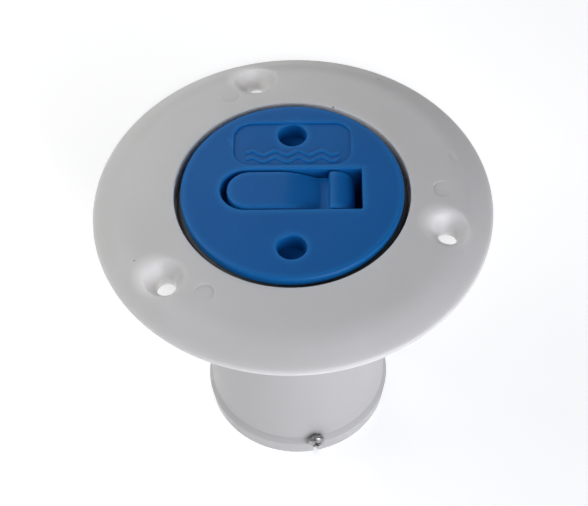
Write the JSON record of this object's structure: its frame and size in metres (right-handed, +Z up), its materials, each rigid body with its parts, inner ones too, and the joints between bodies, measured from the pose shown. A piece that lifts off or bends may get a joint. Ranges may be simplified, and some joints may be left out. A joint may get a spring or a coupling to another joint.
{
  "type": "deck fill cap",
  "caption": "Flush plastic deck fill cap: round screw-down flange with a hose tail, and a threaded blue cap with a flip-up finger lever over a rubber seal.",
  "frame": {"origin": "centre of the hose tail's bottom rim, on the axis of the filler body", "axes": "+Z up along the axis, out of the deck; the lever lies along X with its tip towards -X and its pin along Y"},
  "size_m": [0.104, 0.104, 0.0904],
  "materials": {
    "white_plastic": "satin",
    "blue_plastic": "satin",
    "black_rubber": "matte",
    "stainless_steel": "polished"
  },
  "bodies": {
    "filler": {"filler_body": "white_plastic", "anchor_screw": "stainless_steel", "anchor_eyelet": "stainless_steel", "anchor_nut": "stainless_steel"},
    "chain_swivel": {"swivel_eyelet": "stainless_steel"},
    "cap": {"cap_shell": "blue_plastic", "cap_seal": "black_rubber", "lever_pin": "stainless_steel", "swivel_screw": "stainless_steel"},
    "lever": {"lever": "blue_plastic"}
  },
  "joints": [
    {"name": "cap_lift", "type": "slide", "parent": "filler", "child": "chain_swivel", "axis": [0, 0, 1], "range_m": [0, 0.016]},
    {"name": "cap_turn", "type": "hinge", "parent": "chain_swivel", "child": "cap", "pos_m": [0, 0, 0.0697], "axis": [0, 0, 1], "range_deg": [0, 720]},
    {"name": "lever_flip", "type": "hinge", "parent": "cap", "child": "lever", "pos_m": [0.0109, 0, 0.0849], "axis": [0, 1, 0], "range_deg": [0, 90]}
  ],
  "couplings": [
    {"joint": "cap_lift", "follows": "cap_turn", "m_per_rad": 0.0012732}
  ]
}
